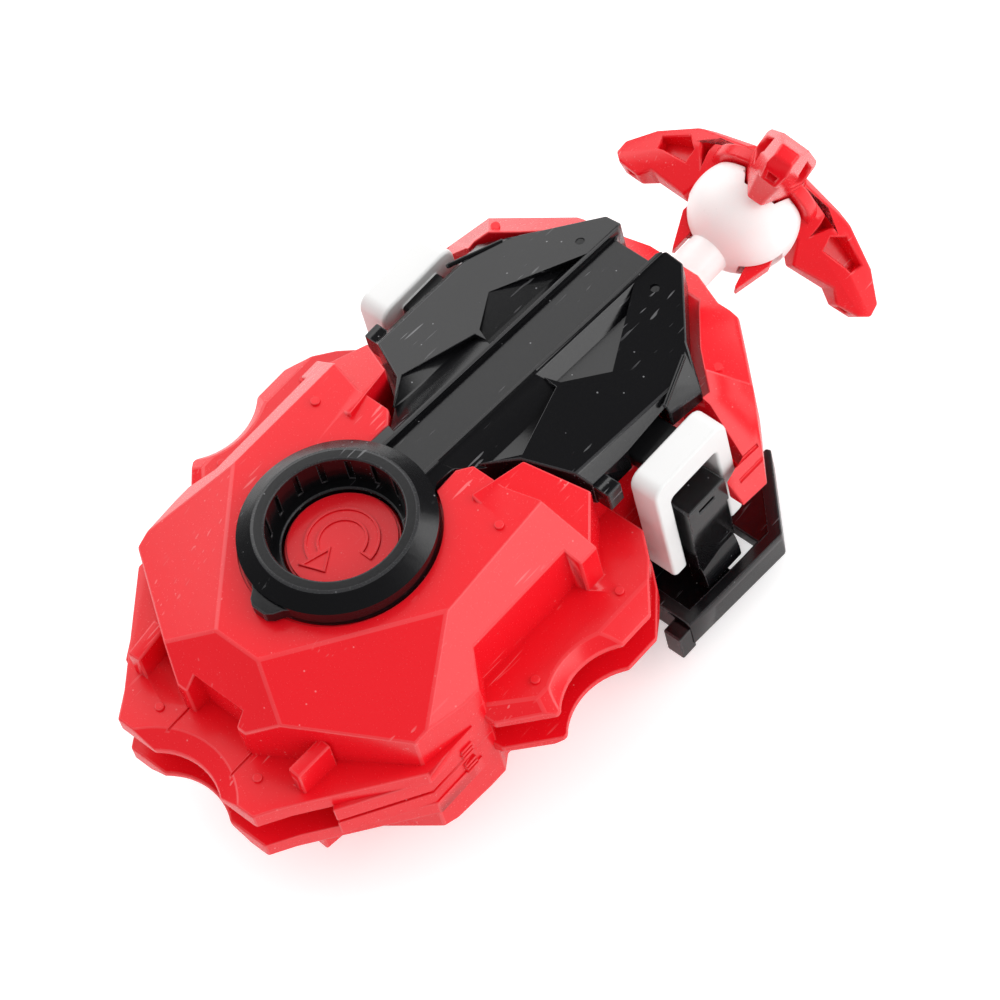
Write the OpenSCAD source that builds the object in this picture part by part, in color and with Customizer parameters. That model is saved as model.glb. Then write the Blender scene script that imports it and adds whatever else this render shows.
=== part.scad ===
// String launcher for spinning tops: a two-shell casing with cover plates, a launch ring on each side,
// a string spool that drives a claw core through a geared clutch, two side buttons and a three-armed handle.
// The launch axis is Z, the string leaves along +Y, and the lower ring rests on Z = 0.

/* [Casing] */
// Height over the two ring rims
casing_h = 56.4; // [54:0.2:60]
// Half width over the side flanges
flange_x = 43; // [42:0.2:45]
// Rear flange edge behind the launch axis
rear_y = 43.8; // [43:0.2:46]
// Nose edge ahead of the launch axis
nose_y = 83; // [82:0.2:86]
// Wall of the shells
wall = 2.2; // [1.8:0.1:2.6]
// Thickness of a flange
flange_t = 3.4; // [2.8:0.1:4]
// Gap of the grip slots between the flanges
slot_gap = 6.6; // [6:0.1:7.4]
// Depth of the scallops in the flange edges
scallop = 3; // [2:0.1:3.6]
// Diameter of the moulded dimples
dimple_d = 1.7; // [1:0.1:2.4]

/* [Ring] */
// Bore of the launch ring
ring_bore_d = 24; // [23:0.1:25]
// Width of the flat rim round the bore
ring_rim_w = 2.15; // [1.8:0.05:2.6]
// Width of the sloping collar round the rim
ring_collar_w = 3.15; // [2.4:0.05:3.5]
// Depth of the ring bore
ring_depth = 6.6; // [5.6:0.1:7.6]
// Number of grooves in the ring bore
ring_grooves = 16; // [8:1:18]

/* [Drive] */
// Module of the gears
gear_m = 1; // [0.96:0.01:1.04]
// Teeth on the spool
spool_teeth = 40; // [38:2:42]
// Teeth on the drive gear
drive_teeth = 20; // [18:2:22]
// Face width of the gears
gear_w = 4; // [3:0.1:4.4]
// Diameter of the string drum
drum_d = 20; // [18.6:0.1:21]
// Width of the string on the drum
drum_w = 6; // [5:0.1:6.6]
// Diameter of the string
string_d = 1.6; // [1.2:0.1:1.8]
// Diameter of the spool axle
axle_d = 4; // [3:0.1:4.4]
// Width across flats of the core shaft
shaft_af = 8; // [7:0.1:8.6]
// Diameter of the core's end discs
disc_d = 20; // [18:0.1:20.2]
// Lift of the core
core_lift = 4.5; // [3:0.1:4.5]

/* [Handle] */
// Diameter of the handle stem
stem_d = 8; // [7:0.1:8.6]
// Diameter of the handle dome
dome_d = 20.6; // [19:0.1:22]
// Distance of the dome centre ahead of the nose edge
dome_ahead = 17.5; // [16:0.1:20]
// Radius of the handle over the blade tips
arm_r = 31; // [29:0.5:32]
// Width of a blade at its root
arm_w = 10.4; // [9:0.1:11]
// Turn of the grip about the stem
handle_turn = 18.6; // [0:0.2:24]
// Lean of the grip to the side
grip_yaw = 5; // [0:0.1:6]
// Lean of the grip upwards
grip_pitch = 7.4; // [0:0.1:8]

/* [Side buttons] */
// Length of a button along the casing
button_l = 18.5; // [17.5:0.1:19]
// Depth of a button out from the casing
button_d = 6; // [5:0.1:6.4]
// Width of a button's legs
leg_w = 3.4; // [2.8:0.1:3.6]
// Travel of a button
button_travel = 2.2; // [1.6:0.1:2.4]

/* [Fits] */
// Radial clearance of turning fits
running = 0.05; // [0.02:0.01:0.1]
// Gap between moulded pieces that pass each other
gap = 0.4; // [0.3:0.05:0.5]
// Diameter of a casing screw
screw_d = 2.2; // [1.8:0.1:2.4]

/* [Hidden] */
$fn = 64;
reach = 150;
mid = casing_h / 2;
flange_low = slot_gap / 2;
flange_top = flange_low + flange_t;

ring_rim_d = ring_bore_d + 2 * ring_rim_w;
ring_collar_d = ring_rim_d + 2 * ring_collar_w;

// Heights above the mid-plane
seat_h = mid - 16.2;
ring_seat_h = mid - 5.7;
ring_floor_h = mid - ring_depth;
collar_drop = 2.2;
floor_t = 2;
rest_drop = 6.8;
well_h = mid - rest_drop - core_lift - 0.1;

// Launch axis to spool axis, and the gear levels
spool_y = gear_m * (spool_teeth + drive_teeth) / 2;
gear_low = drum_w / 2 + 1;
gear_top = gear_low + gear_w;
ceiling_h = gear_top + 1.8;
boss_h = gear_top + 1.4;
hub_r = 6.4;
hub_h = mid - 15.7;
journal_r = 5.8;
winding_r = drum_d / 2 + 2 * string_d;
rim_r = winding_r + 3;
cap_t = 1.2;
washer_t = 0.7;

neck_x = 7.4;

// Plan corners of the casing, right side, from the rear to the front
deck_plan = [[8, -34.9], [32.6, -19.3], [34, -8.6], [34, -5], [30, -1], [30, 22], [32.6, 22.6],
             [32.6, 26.9], [17, 23.1]];
deck_room_plan = [[8, -31.6], [32.6, -19.3], [34, -8.6], [30, -1], [30, 22], [17, 23.1]];
shoulder_plan = [[14, 18], [29, 19], [31.4, 26.4], [25.9, 33.5], [16, 29]];
rear_plan = [[16, -rear_y], [19.4, 5.2 - rear_y], [34.2, -20], [34.2, -8.8], [28, -8.8]];
quarter_plan = [[24.6, -34], [33.9, -19.9], [33.9, -9.2], [31, -9.2], [31, -18.6], [22.6, -31.4]];
side_plan = [[27, -6.8], [36, -5.5], [flange_x, 2.2], [flange_x, 26.2], [36.6, 33.8], [32.1, 37.4],
             [21, 37.4], [21, 0]];
skirt_plan = [[16, 12], [27, 16], [29.5, 26], [24.6, 34.5], [24.6, 57.6], [18, 62]];
room_plan = [[17, -8], [21, 20], [23.4, 28], [22.4, 35], [22.4, 57], [21.8, 60.4], [14.6, nose_y - 13.2]];
rim_plan = [[13, 52], [19, 58.2], [28.4, 60.6], [35.6, 59.2], [36.4, 53.8], [39.6, 53.8], [40, 59.6],
            [30.7, 68.8], [18.75, nose_y - 4], [14.2, nose_y - 4], [5.65, nose_y]];
low_rim_plan = [[13, 52], [19, 58.2], [26.5, 61], [24, 70], [18.75, nose_y - 4], [14.2, nose_y - 4],
                [5.65, nose_y]];
plate_plan = [[neck_x, 8], [neck_x, 21], [14.4, 29.5], [25.2, 34.6], [25.4, 52], [26.4, 61.2], [19.4, 66],
              [8.8, 77.6], [5.3, 77.6], [3.8, 74.6]];
pocket_plan = [[neck_x + gap, 15], [neck_x + gap, 20.8], [14.6, 29.1], [25.2, 33.8], [26, 36], [26, 52], [27.2, 62],
               [20.8, 67.4], [10.2, 78.6], [4.6, 78.6], [3.6, 75.6]];

// Facets of the deck: crest corners and the planes between them
crest_rear = [4.8, -25.9, mid - 5.7];
crest_bend = [21.5, -5, mid - 5];
crest_side = [24.5, 20, mid - 4.4];
deck_corner = [32.6, -19.3, mid - 14.1];
notch_edge = [0, -32.7, mid - 12.3];
plateau = [[0, 0, mid - 4.7], [0, -0.04, 1]];
rear_facet = through(crest_rear, across(crest_rear), notch_edge);
quarter_facet = through(crest_rear, crest_bend, deck_corner);
side_facet = through([24.5, 0, crest_side[2]], crest_side, [30, 12, mid - 10.2]);
deck_facets = concat([plateau, rear_facet], pair(quarter_facet), pair(side_facet));
shoulder_facet = through([17, 23.1, mid - 4.6], [25.9, 33.5, mid - 10.1], [31.6, 26.7, mid - 13.4]);
rim_facet = through([30.7, 68.8, mid - 16.9], [18.75, nose_y - 4, mid - 18.8], [25.8, 66.3, mid - 13.1]);
side_rim_facet = through([30.7, 68.8, mid - 16.9], [40, 59.6, mid - 27.6], [31, 57.9, mid - 18]);
nose_facet = [[0, nose_y, mid - 21.5], [0, 0.86, 1]];
rim_facets = concat([nose_facet], pair(rim_facet), pair(side_rim_facet));

// Facets of a cover plate: its spine falls to the front and its wings fall to the sides
spine_fall = 0.09;
wing_fall = 0.186;
spine = [[0, 0, mid - 1.3], [0, spine_fall, 1]];
wing = [[5, 0, mid - 1.3], [wing_fall, spine_fall, 1]];
wing_slope = through([20.5, 64.5, mid - 10.2], [25.7, 52.5, mid - 9.6], [27, 61.5, mid - 13.6]);
function wing_h(x, y) = mid - 1.3 - wing_fall * (x - 5) - spine_fall * y;
edge_bevel = through([23, 34.6, wing_h(23, 34.6)], [23.4, 52, wing_h(23.4, 52)], [25.4, 43, wing_h(23.2, 43) - 2.6]);
plate_facets = concat([spine], pair(wing), pair(wing_slope), pair(edge_bevel));
crease = [[20.9, 63.6, mid - 10.15], [25.3, 53.4, mid - 9.75]];

// Casing screws, clear of the spool and the clutch
screw_places = [[17, -19, mid - 10.8], [25, 14, mid - 9.4], [16, 60, ceiling_h + 0.5]];
screw_r = screw_d / 2;
head_r = screw_d;

// Cover plate screws, driven from inside the shells into posts under the plates
plate_screw_r = 0.9;
plate_screw_x = 10;
plate_screw_y = 57;
plate_post = 4.6;

// Side buttons: the loop stands outside the plate edge and straddles the latch block
button_x = 26 + button_travel + gap;
button_y = 48.8;
button_top = mid - 11.5;
button_bar = 5.5;
button_foot = mid - 38;
guide_l = 9;
latch_l = button_l - 2 * leg_w - 2 * gap - 1.4;
latch_top = mid - 21.9;
latch_foot = mid - 39.4;

// Handle places ahead of the launch axis
stem_y = nose_y - 6.8;
socket_r = stem_d / 2 + gap;
dome_y = nose_y + dome_ahead;
dome_r = dome_d / 2;
grip_low = 0.8;
grip_t = 6;
knot_r = 2;
knot_y = dome_y - 2.2;

// A point on the other side of the casing, and a plane with its mirror image
function across(p) = [-p[0], p[1], p[2]];
function pair(plane) = [plane, [across(plane[0]), across(plane[1])]];
// The plane through three points, facing up, as a point and a normal
function through(a, b, c) = let (n = cross(b - a, c - a)) [a, n[2] < 0 ? -n : n];
function unit(v) = v / norm(v);
// A right-hand row of plan corners closed by its mirror image
function both(points) = concat(points, [for (i = [len(points) - 1:-1:0]) [-points[i][0], points[i][1]]]);
// An outline moved inwards by a distance
function inset(points, d) = let (n = len(points)) [for (i = [0:n - 1])
  let (u = unit(points[i] - points[(i + n - 1) % n]), v = unit(points[(i + 1) % n] - points[i]),
       nu = [-u[1], u[0]], nv = [-v[1], v[0]])
  points[i] + d * (nu + nv) / (1 + nu * nv)];
function polar(r, a) = [r * cos(a), r * sin(a)];
// Half the angle of an involute tooth at a radius
function turn_of(a) = tan(a) * 180 / PI - a;
function tooth_half(r, base, pitch, teeth) = 90 / teeth - gear_slack / pitch * 90 / PI
  + turn_of(20) - (r > base ? turn_of(acos(base / r)) : 0);
gear_slack = 0.24;
function gear_points(teeth, turn) = let (pitch = gear_m * teeth / 2, base = pitch * cos(20),
    root = pitch - 1.2 * gear_m, tip = pitch + 0.9 * gear_m,
    start = max(root, base), radii = [root, start + 0.01, start + (tip - start) * 0.4, tip])
  [for (i = [0:teeth - 1]) for (side = [-1, 1]) for (k = [0:3])
    let (r = radii[side < 0 ? k : 3 - k]) polar(r, turn + i * 360 / teeth + side * tooth_half(r, base, pitch, teeth))];

// Everything on the outer side of a plane moved in by a distance
module beyond(plane, d = 0) {
  n = unit(plane[1]);
  translate(plane[0] - n * d) rotate([0, acos(n[2]), atan2(n[1], n[0])])
    translate([-reach, -reach, 0]) cube([2 * reach, 2 * reach, reach]);
}
// A prism between two heights, cut by facet planes
module faceted(outline, low, high, planes, d = 0) {
  difference() {
    translate([0, 0, low]) linear_extrude(high - low) polygon(inset(outline, d));
    for (plane = planes) beyond(plane, d);
  }
}
module prism(outline, low, high) {
  translate([0, 0, low]) linear_extrude(high - low) polygon(outline);
}
module rod(r, low, high) {
  translate([0, 0, low]) cylinder(r = r, h = high - low);
}
module tube(outer, inner, low, high) {
  difference() {
    rod(outer, low, high);
    rod(inner, low - 1, high + 1);
  }
}
module block(x, y, z) {
  translate([x[0], y[0], z[0]]) cube([x[1] - x[0], y[1] - y[0], z[1] - z[0]]);
}
module sides() {
  children();
  mirror([1, 0, 0]) children();
}
module upper() {
  translate([0, 0, mid]) children();
}
module lower() {
  translate([0, 0, mid]) mirror([0, 0, 1]) children();
}
// A round bar between two points
module spar(a, b, r) {
  run = b - a;
  translate(a) rotate([0, acos(run[2] / norm(run)), atan2(run[1], run[0])]) cylinder(r = r, h = norm(run));
}
// A cylinder along +Y from one place to another
module shaft_y(r, from, to) {
  translate([0, from, 0]) rotate([-90, 0, 0]) cylinder(r = r, h = to - from);
}

// Flanges with scalloped edges and a bevelled border
module side_flange() {
  border = 3.6;
  edge_h = flange_low + 1;
  scallop_r = 12.1;
  scallop_x = flange_x - scallop + scallop_r;
  difference() {
    faceted(side_plan, flange_low, flange_top,
      [[[flange_x - border, 0, flange_top], [flange_top - edge_h, 0, border]],
       [[36, -5.5 + border * 1.1, flange_top], [(flange_top - edge_h) * 0.7, (edge_h - flange_top) * 0.7, border]]]);
    translate([scallop_x, 11, edge_h]) cylinder(r1 = scallop_r, r2 = scallop_r + scallop, h = flange_t);
    translate([scallop_x, 11, flange_low - 1]) cylinder(r = scallop_r, h = flange_t);
  }
}
module rear_flange() {
  scallop_r = 13;
  difference() {
    prism(both(rear_plan), flange_low, flange_top);
    translate([0, scallop - 0.4 - rear_y - scallop_r, 0]) {
      rod(scallop_r, 0, reach);
      translate([0, 0, flange_low + 1.2]) cylinder(r1 = scallop_r, r2 = scallop_r + 3.4, h = flange_t - 1.1);
    }
    // Panel lines either side of the scallop
    sides() block([7.2, 7.6], [-rear_y - 1, -34], [flange_top - 0.4, flange_top + 1]);
  }
  // Quarter walls that close the grip slot behind the side flanges
  sides() {
    prism(quarter_plan, gap, flange_low + 0.6);
    for (k = [0:2]) block([33, 34.6], [-12.6, -10], [gap + 0.5 + 1.1 * k, gap + 1 + 1.1 * k]);
  }
}
// Small moulded pips on the flanges, the shoulders and the rim
module pips() {
  pip_h = 0.5;
  sides() {
    for (place = [[11.6, -37.8], [36.9, 4.2], [37, 25.7]])
      translate(place) rod(dimple_d / 2, flange_top - 1, flange_top + pip_h);
    translate([21.3, 16.9, 0]) rod(dimple_d / 2, mid - 6, mid - 4 + pip_h);
    translate([25.8, 66.3, 0]) rod(dimple_d / 2, mid - 15, mid - 13.1 + pip_h);
  }
}
// Upright fins behind the deck
module fins() {
  fin_w = 2.7;
  fin_l = 7.5;
  fin_h = mid - 15.8;
  sides() translate([17.5, -35, 0]) rotate(-4) rotate([90, 0, 90]) linear_extrude(fin_w)
    polygon([[0, flange_top - 0.5], [fin_l, flange_top - 0.5], [fin_l, fin_h + 0.6], [0, fin_h]]);
}
// The outer form of one shell, above the mid-plane
module shell_form(rim) {
  faceted(both(deck_plan), 0, mid, deck_facets);
  sides() faceted(shoulder_plan, 0, mid, [shoulder_facet]);
  sides() side_flange();
  rear_flange();
  fins();
  prism(both(skirt_plan), 0, seat_h);
  difference() {
    faceted(both(rim), 0, mid - 11, rim_facets);
    // Two grooves across the rim's side
    sides() {
      spar([35.8, 57, mid - 23.2], [36.2, 62.6, mid - 23.2], 0.35);
      spar([37.5, 56, mid - 25.1], [37.7, 62, mid - 24.9], 0.35);
    }
  }
  pips();
}
// The room inside one shell
module shell_room() {
  faceted(both(deck_room_plan), -1, mid, deck_facets, wall);
  prism(both(room_plan), -1.5, ceiling_h);
}
module at_screws() {
  sides() for (place = screw_places) translate([place[0], place[1], 0]) children();
}
module screw_posts() {
  sides() for (place = screw_places) translate([place[0], place[1], 0]) rod(head_r + gap + 1.2, 0, place[2]);
}
// One shell with its walls, posts and bearing bosses
module shell_half(rim) {
  difference() {
    union() {
      difference() {
        shell_form(rim);
        shell_room();
      }
      // Floor of the ring well with the boss of the bush
      rod(ring_rim_d / 2 + 2.2, well_h - floor_t, mid - 6);
      rod(hub_r + 4, hub_h - 3.4, well_h - 1);
      screw_posts();
      translate([0, spool_y, 0]) rod(axle_d / 2 + 2.6, boss_h, ceiling_h + 0.5);
    }
    // Seat of the cover plate, its ring and its neck
    prism(both(pocket_plan), seat_h, mid + 1);
    rod(ring_collar_d / 2 + gap, ring_seat_h, mid + 2);
    rod(ring_rim_d / 2 + gap, well_h, mid + 3);
    block([-neck_x - gap, neck_x + gap], [8, 20], [mid - 8.6, mid + 4]);
    // Bores of the bush, the core and the axle
    rod(hub_r + 1.6 + running, hub_h - 4, hub_h + 0.4);
    rod(disc_d / 2 - 3.5, hub_h - 1, mid);
    translate([0, spool_y, 0]) rod(axle_d / 2 + running / 2, 0, ceiling_h + 1.4);
    at_plate_screws() rod(plate_screw_r + 0.15, 0, mid);
    // Socket of the stem and the string's way to it
    shaft_y(socket_r, stem_y - gap, nose_y + 1);
    shaft_y(string_d + 1.4, nose_y - 20, nose_y);
    // Notch in the rear wall
    prism([[-6.4, -40], [6.4, -40], [5.5, -31.6], [-5.5, -31.6]], flange_top, mid - 12.3);
  }
}

module upper_shell() {
  color("red") upper() difference() {
    shell_half(rim_plan);
    at_screws() rod(screw_r, -1, ceiling_h);
    sides() button_way();
  }
}
module lower_shell() {
  color("red") lower() difference() {
    shell_half(low_rim_plan);
    at_screws() {
      rod(screw_r + 0.2, -1, mid);
      rod(head_r + gap, ceiling_h - 1.5, mid);
    }
    sides() button_way();
  }
}
// Room that a button's guide and spring need in the casing
module button_way() {
  block([button_x - guide_l - 8, button_x + 4], [button_y - 5.2, button_y + 5.2],
        [button_top - button_bar - gap, button_top + gap]);
}

// Cover plate: ring, railed neck and fan-shaped front
module ring_form() {
  rim = ring_rim_d / 2;
  collar = ring_collar_d / 2;
  bore = ring_bore_d / 2;
  difference() {
    union() {
      translate([0, 0, mid - collar_drop]) cylinder(r1 = collar, r2 = rim, h = collar_drop);
      rod(collar, ring_seat_h, mid - collar_drop);
      rod(rim, ring_floor_h - floor_t, ring_seat_h + 1);
      // Tail of the collar
      prism(both([[5.6, -15.9], [3.6, -17.3], [2.6, -18.9], [1.4, -19.8]]), mid - 5.1, mid - 2.6);
    }
    rod(bore, ring_floor_h, mid + 1);
    rod(disc_d / 2 + gap, 0, mid);
    for (i = [0:ring_grooves - 1]) rotate((i + 0.5) * 360 / ring_grooves)
      block([bore - 1, bore + 0.6], [-0.45, 0.45], [ring_floor_h + 0.6, mid - 1]);
  }
}
module plate_form() {
  rail_x = 4.4;
  rail_w = 0.7;
  flare_r = 5;
  flare_x = neck_x - 0.25 + flare_r;
  flare_mid = [flare_x, sqrt(pow(ring_collar_d / 2 - 0.3 + flare_r, 2) - flare_x * flare_x)];
  difference() {
    union() {
      difference() {
        faceted(both(plate_plan), seat_h, mid, plate_facets);
        // Ring opening and the hollow under the plate
        rod(ring_rim_d / 2 - 0.5, 0, mid);
        difference() {
          prism(both([[12, 33], [23, 37], [23, 58], [14, 64]]), seat_h - 1, seat_h + 4.4);
          at_plate_screws() rod(plate_screw_r + 1.7, 0, mid);
        }
      }
      // Flare of the neck into the ring collar
      translate([0, 0, -0.05]) difference() {
        faceted(both([flare_mid * (ring_collar_d / 2 - 0.3) / norm(flare_mid), [neck_x - 0.25, flare_mid[1]]]),
          mid - 3.7, mid, plate_facets);
        sides() translate(flare_mid) rod(flare_r, 0, 2 * mid);
      }
      sides() {
        // Rib along the crease of a wing, and the tab behind it
        spar(crease[0], crease[1], 0.45);
        block([24.4, 28.4], [34.9, 38.2], [seat_h + 0.2, mid - 11.4]);
      }
      // Rails along the neck
      intersection() {
        prism(both(plate_plan), seat_h, mid);
        sides() translate([rail_x, 0, mid - 1.3]) rotate([-atan(spine_fall), 0, 0])
          block([-0.4, rail_w], [ring_rim_d / 2 - 0.4, 77], [-3, 0.5]);
      }
    }
    // Channel between the rails
    translate([0, 0, mid - 1.3]) rotate([-atan(spine_fall), 0, 0])
      block([-rail_x, rail_x], [ring_rim_d / 2 + 0.2, 80], [-0.7, 4]);
    sides() scoops();
    // Pips' pits on the lobes
    sides() translate([8.6, 70.5, 0]) rod(dimple_d / 2, mid - 8.6, mid);
    at_plate_screws() rod(plate_screw_r + 0.1, 0, seat_h + plate_post);
    // The neck rests clear of the casing behind the seat
    rod(ring_collar_d / 2 - 0.5, 0, ring_seat_h);
    block([-12, 12], [0, 20], [0, mid - 8.6 + gap]);
    sides() button_way();
  }
}
// Two sloping scoops beside each rail
module scoops() {
  scoop([[5.6, 69.2], [5.3, 43.6], [9.6, 45.4], [14.4, 53]], 4.6, [7.2, 58, spine_h(58) - 2]);
  scoop([[5.3, 44.2], [5.3, 19.6], [8, 20.6], [14, 30.4], [9.6, 44.2]], 4.9, [8.8, 36, spine_h(36) - 1.8]);
}
// One hollow: the flank of the neck falls from the rail through a valley point to a floor that rises outwards
module scoop(outline, drop, valley) {
  intersection() {
    translate([0, 0, mid - drop]) rotate([-atan(spine_fall), 0, 0]) rotate([0, -6, 0]) prism(outline, 0, 10);
    beyond(through([5.3, 20, spine_h(20)], [5.3, 70, spine_h(70)], valley));
  }
}
// Height of the plate along its middle line
function spine_h(y) = mid - 1.3 - spine_fall * y;
module top_plate() {
  color("dimgray") upper() {
    plate_form();
    ring_form();
  }
}
// The underside plate carries a rimmed frame at each side
module side_frame() {
  frame_plan = [[24, 36.4], [39.6, 36.4], [40.6, 60], [27.6, 72.4], [22, 70]];
  frame_top = mid - 12;
  frame_foot = mid - 6;
  rim_w = 2.4;
  tray_h = 3;
  difference() {
    prism(frame_plan, frame_top, frame_foot);
    prism(inset(frame_plan, rim_w), frame_top - 1, frame_foot - tray_h);
    block([28.5, 36.3], [50.5, 57.5], [0, mid]);
    // Clear of the lower shell's rim
    block([20, 26.8], [58.4, 74], [frame_top - 1, mid - 10.7]);
  }
  block([35.6, 39.4], [33.4, 36.8], [frame_top + 1.5, frame_foot + 1.6]);
}
module bottom_plate() {
  color("dimgray") lower() {
    plate_form();
    ring_form();
    sides() side_frame();
  }
}

// Fasteners
module casing_screws() {
  color("silver") lower() at_screws() {
    rod(screw_r - 0.1, 0.4 - ceiling_h, ceiling_h - 1.4);
    rod(head_r, ceiling_h - 1.5, ceiling_h + 0.3);
  }
}
module plate_screws() {
  color("silver") for (flip = [0, 1]) translate([0, 0, mid]) mirror([0, 0, flip]) at_plate_screws() {
    rod(plate_screw_r, ceiling_h - 0.1, seat_h + plate_post - 0.4);
    rod(plate_screw_r * 2, ceiling_h - 1.3, ceiling_h);
  }
}
module at_plate_screws() {
  sides() translate([plate_screw_x, plate_screw_y, 0]) children();
}

// Drive at the launch axis
module bush() {
  color("white") tube(hub_r + 1.6, journal_r + running, hub_h - 3, hub_h - 0.2);
}
module upper_bush() {
  upper() bush();
}
module lower_bush() {
  lower() bush();
}
module hexagon(af, low, high) {
  translate([0, 0, low]) cylinder(r = af / sqrt(3), h = high - low, $fn = 6);
}
module clutch_hub() {
  color("gold") upper() difference() {
    union() {
      rod(journal_r, -hub_h, hub_h);
      rod(hub_r, 3.4 - hub_h, hub_h - 3.4);
      rod(hub_r + 2.4, gear_low - 1.2, gear_low - 0.05);
    }
    hexagon(shaft_af + 2 * running, -mid, mid);
  }
}
module drive_gear() {
  notches = 6;
  color("ivory") upper() difference() {
    prism(gear_points(drive_teeth, 0), gear_low, gear_top);
    rod(hub_r + running, 0, mid);
    for (i = [0:notches - 1]) rotate(i * 360 / notches)
      block([hub_r - 1, hub_r + 0.9], [-0.9, 0.9], [gear_low - 1, gear_top + 1]);
  }
}
module clutch_pawls() {
  color("silver") upper() for (turn = [0, 180]) rotate(turn)
    block([hub_r + 0.05, hub_r + 0.8], [-0.7, 0.7], [gear_low + 0.2, gear_top - 0.2]);
}
module core_shaft() {
  color("ivory") upper() hexagon(shaft_af, rest_drop - mid, mid - rest_drop - 2.6);
}
module top_disc() {
  disc_top = mid - rest_drop;
  color("red") upper() {
    rod(disc_d / 2 - 0.4, disc_top - 2.6, disc_top);
    rod(disc_d / 2, disc_top - 2.2, disc_top - 0.5);
    turning_arrow(disc_top);
  }
}
// Raised outline of a turning arrow
module turning_arrow(low) {
  line = 0.5;
  relief = 0.35;
  outer = 6.6;
  inner = 4;
  translate([0, 0, low - 0.1]) {
    difference() {
      arrow_solid(outer, inner, 0, relief + 0.1);
      translate([0, 0, -0.1]) arrow_solid(outer - line, inner + line, line, relief + 0.4);
    }
  }
}
module arrow_solid(outer, inner, d, h) {
  sweep = 250;
  head = 3.2 - 1.7 * d;
  middle = 5.3;
  edge = d / middle * 180 / PI;
  difference() {
    cylinder(r = outer, h = h);
    translate([0, 0, -1]) cylinder(r = inner, h = h + 2);
    translate([0, 0, -1]) linear_extrude(h + 2) polygon(concat([[0, 0]],
      [for (a = [sweep - edge:(360 - sweep + 2 * edge) / 4:360 + edge]) polar(12, a)]));
  }
  rotate(sweep) translate([middle, 0, 0]) linear_extrude(h)
    polygon([[-head, d - 0.01], [head, d - 0.01], [0, head * 1.25 + d]]);
}
module claw_disc() {
  color("red") lower() tube(disc_d / 2, 1.2, mid - rest_drop, mid - rest_drop + 2.6);
}
module launch_claws() {
  color("silver") lower() for (turn = [0, 180]) rotate(turn) difference() {
    union() {
      claw_wedge(6.2, 9, 26, mid - rest_drop + 2.6, mid - 0.5);
      claw_wedge(6.2, 9, 44, mid - 1.7, mid - 0.5);
    }
    rod(4, 0, mid);
  }
}
module claw_wedge(inner, outer, angle, low, high) {
  intersection() {
    tube(outer, inner, low, high);
    prism([[0, 0], polar(14, 0), polar(14, angle)], low, high);
  }
}

// Spool with its string, cap, axle and return spring
module string_spool() {
  pocket_r = drum_d / 2 - 1.4;
  color("ivory") upper() translate([0, spool_y, 0]) difference() {
    union() {
      prism(gear_points(spool_teeth, 180 / spool_teeth), gear_low, gear_top);
      rod(rim_r, drum_w / 2, gear_low);
      rod(drum_d / 2, -drum_w / 2, drum_w / 2);
      rod(rim_r, -gear_low, -drum_w / 2);
    }
    rod(axle_d / 2 + running, -mid, mid);
    rod(pocket_r, -mid, drum_w / 2 - 0.4);
  }
}
module spool_cap() {
  color("gray") upper() translate([0, spool_y, 0])
    tube(rim_r - 1.5, axle_d / 2 + running, -gear_low - cap_t, -gear_low);
}
module string_winding() {
  color("whitesmoke") upper() translate([0, spool_y, 0])
    tube(winding_r, drum_d / 2 + 0.02, 0.1 - drum_w / 2, drum_w / 2 - 0.1);
}
module spool_axle() {
  color("silver") upper() translate([0, spool_y, 0]) rod(axle_d / 2, -ceiling_h - 1.2, ceiling_h + 1.2);
}
module axle_washers() {
  color("silver") upper() translate([0, spool_y, 0]) {
    tube(axle_d / 2 + 2.2, axle_d / 2 + running, gear_top + 0.3, gear_top + 0.3 + washer_t);
    tube(axle_d / 2 + 2.2, axle_d / 2 + running, -gear_low - cap_t - 0.3 - washer_t, -gear_low - cap_t - 0.3);
  }
}
module return_spring() {
  turns = 5;
  strip = 0.45;
  steps = 24;
  start_r = axle_d / 2 + 0.3;
  end_r = drum_d / 2 - 2;
  side = function(extra) [for (i = [0:turns * steps])
    polar(start_r + extra + (end_r - start_r - strip) * i / (turns * steps), i * 360 / steps)];
  outer = side(strip);
  color("silver") upper() translate([0, spool_y, 0])
    prism(concat(side(0), [for (i = [len(outer) - 1:-1:0]) outer[i]]), 0.4 - gear_low, drum_w / 2 - 0.8);
}
module string_guide() {
  color("white") upper() difference() {
    shaft_y(string_d + 1.35, nose_y - 12.6, nose_y - 8);
    shaft_y(string_d / 2 + 0.4, nose_y - 13, nose_y);
  }
}
// String from the winding through the guide into the handle
module string_lead() {
  bend = [0, nose_y - 14, 0];
  lay_r = winding_r + string_d / 2 + 0.1;
  lean = asin(lay_r / (bend[1] - spool_y));
  leave = [lay_r * cos(lean), spool_y + lay_r * sin(lean), 0];
  run = bend - leave;
  color("whitesmoke") upper() {
    translate(leave) rotate([0, 90, atan2(run[1], run[0])]) cylinder(d = string_d, h = norm(run));
    translate(bend) sphere(d = string_d + 0.4);
    shaft_y(string_d / 2, bend[1], knot_y - knot_r - 0.1);
  }
}
module string_knot() {
  color("whitesmoke") upper() translate([0, knot_y, 0]) sphere(r = knot_r);
}

// Pull handle: a stem with a ball, and a three-bladed grip that plugs into the ball from the front
module grip_pose() {
  translate([0, dome_y, 0]) rotate([grip_pitch, 0, grip_yaw]) rotate([0, handle_turn, 0]) children();
}
// Turns of the three blades about the stem; the upper one leans over
blade_turns = [8, 120, 240];
module at_arms() {
  for (turn = blade_turns) rotate([0, turn, 0]) children();
}
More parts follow.
